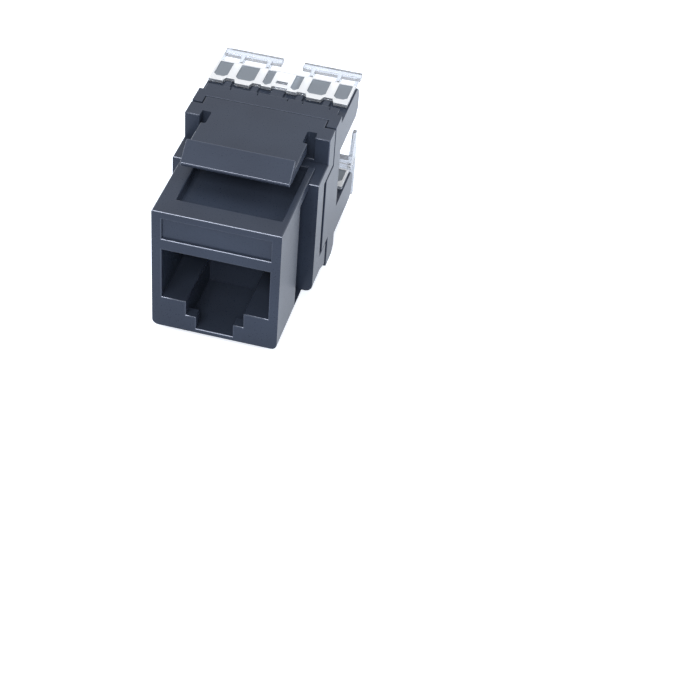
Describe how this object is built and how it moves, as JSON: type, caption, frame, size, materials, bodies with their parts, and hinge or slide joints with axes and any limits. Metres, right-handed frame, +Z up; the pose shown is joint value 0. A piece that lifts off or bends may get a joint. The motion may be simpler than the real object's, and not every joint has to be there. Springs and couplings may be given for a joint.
{
  "type": "keystone jack",
  "caption": "Black punch-down keystone jack with a stepped modular socket, a springy latch, a terminal block of slotted towers and two clear wire caps.",
  "frame": {"origin": "centre of the bounding box's lowest level, where the underside of the rear housing and the fixed lug rest", "axes": "+Y from the socket's face to the wires, +X across the face to the right seen from the rear of the panel's front side, +Z up towards the latch"},
  "size_m": [0.0172, 0.031, 0.0207],
  "materials": {
    "black_plastic": "fine satin",
    "clear_plastic": "clear polycarbonate",
    "gold_plate": "gold plated",
    "tin_plate": "tinned bronze",
    "board": "solder resist",
    "label": "printed film"
  },
  "bodies": {
    "jack": {"front_housing": "black_plastic", "idc_housing": "black_plastic", "contact_carrier": "black_plastic", "circuit_board": "board", "contact_1": "gold_plate", "contact_2": "gold_plate", "contact_3": "gold_plate", "contact_4": "gold_plate", "contact_5": "gold_plate", "contact_6": "gold_plate", "contact_7": "gold_plate", "contact_8": "gold_plate", "upper_terminal_1": "tin_plate", "upper_terminal_2": "tin_plate", "upper_terminal_3": "tin_plate", "upper_terminal_4": "tin_plate", "lower_terminal_1": "tin_plate", "lower_terminal_2": "tin_plate", "lower_terminal_3": "tin_plate", "lower_terminal_4": "tin_plate", "wiring_label": "label"},
    "upper_wire_cap": {"top_cap": "clear_plastic"},
    "lower_wire_cap": {"bottom_cap": "clear_plastic"}
  },
  "joints": [
    {"name": "top_cap_slide", "type": "slide", "parent": "jack", "child": "upper_wire_cap", "axis": [0, 1, 0], "range_m": [0, 0.008]},
    {"name": "bottom_cap_slide", "type": "slide", "parent": "jack", "child": "lower_wire_cap", "axis": [0, 1, 0], "range_m": [0, 0.008]}
  ]
}
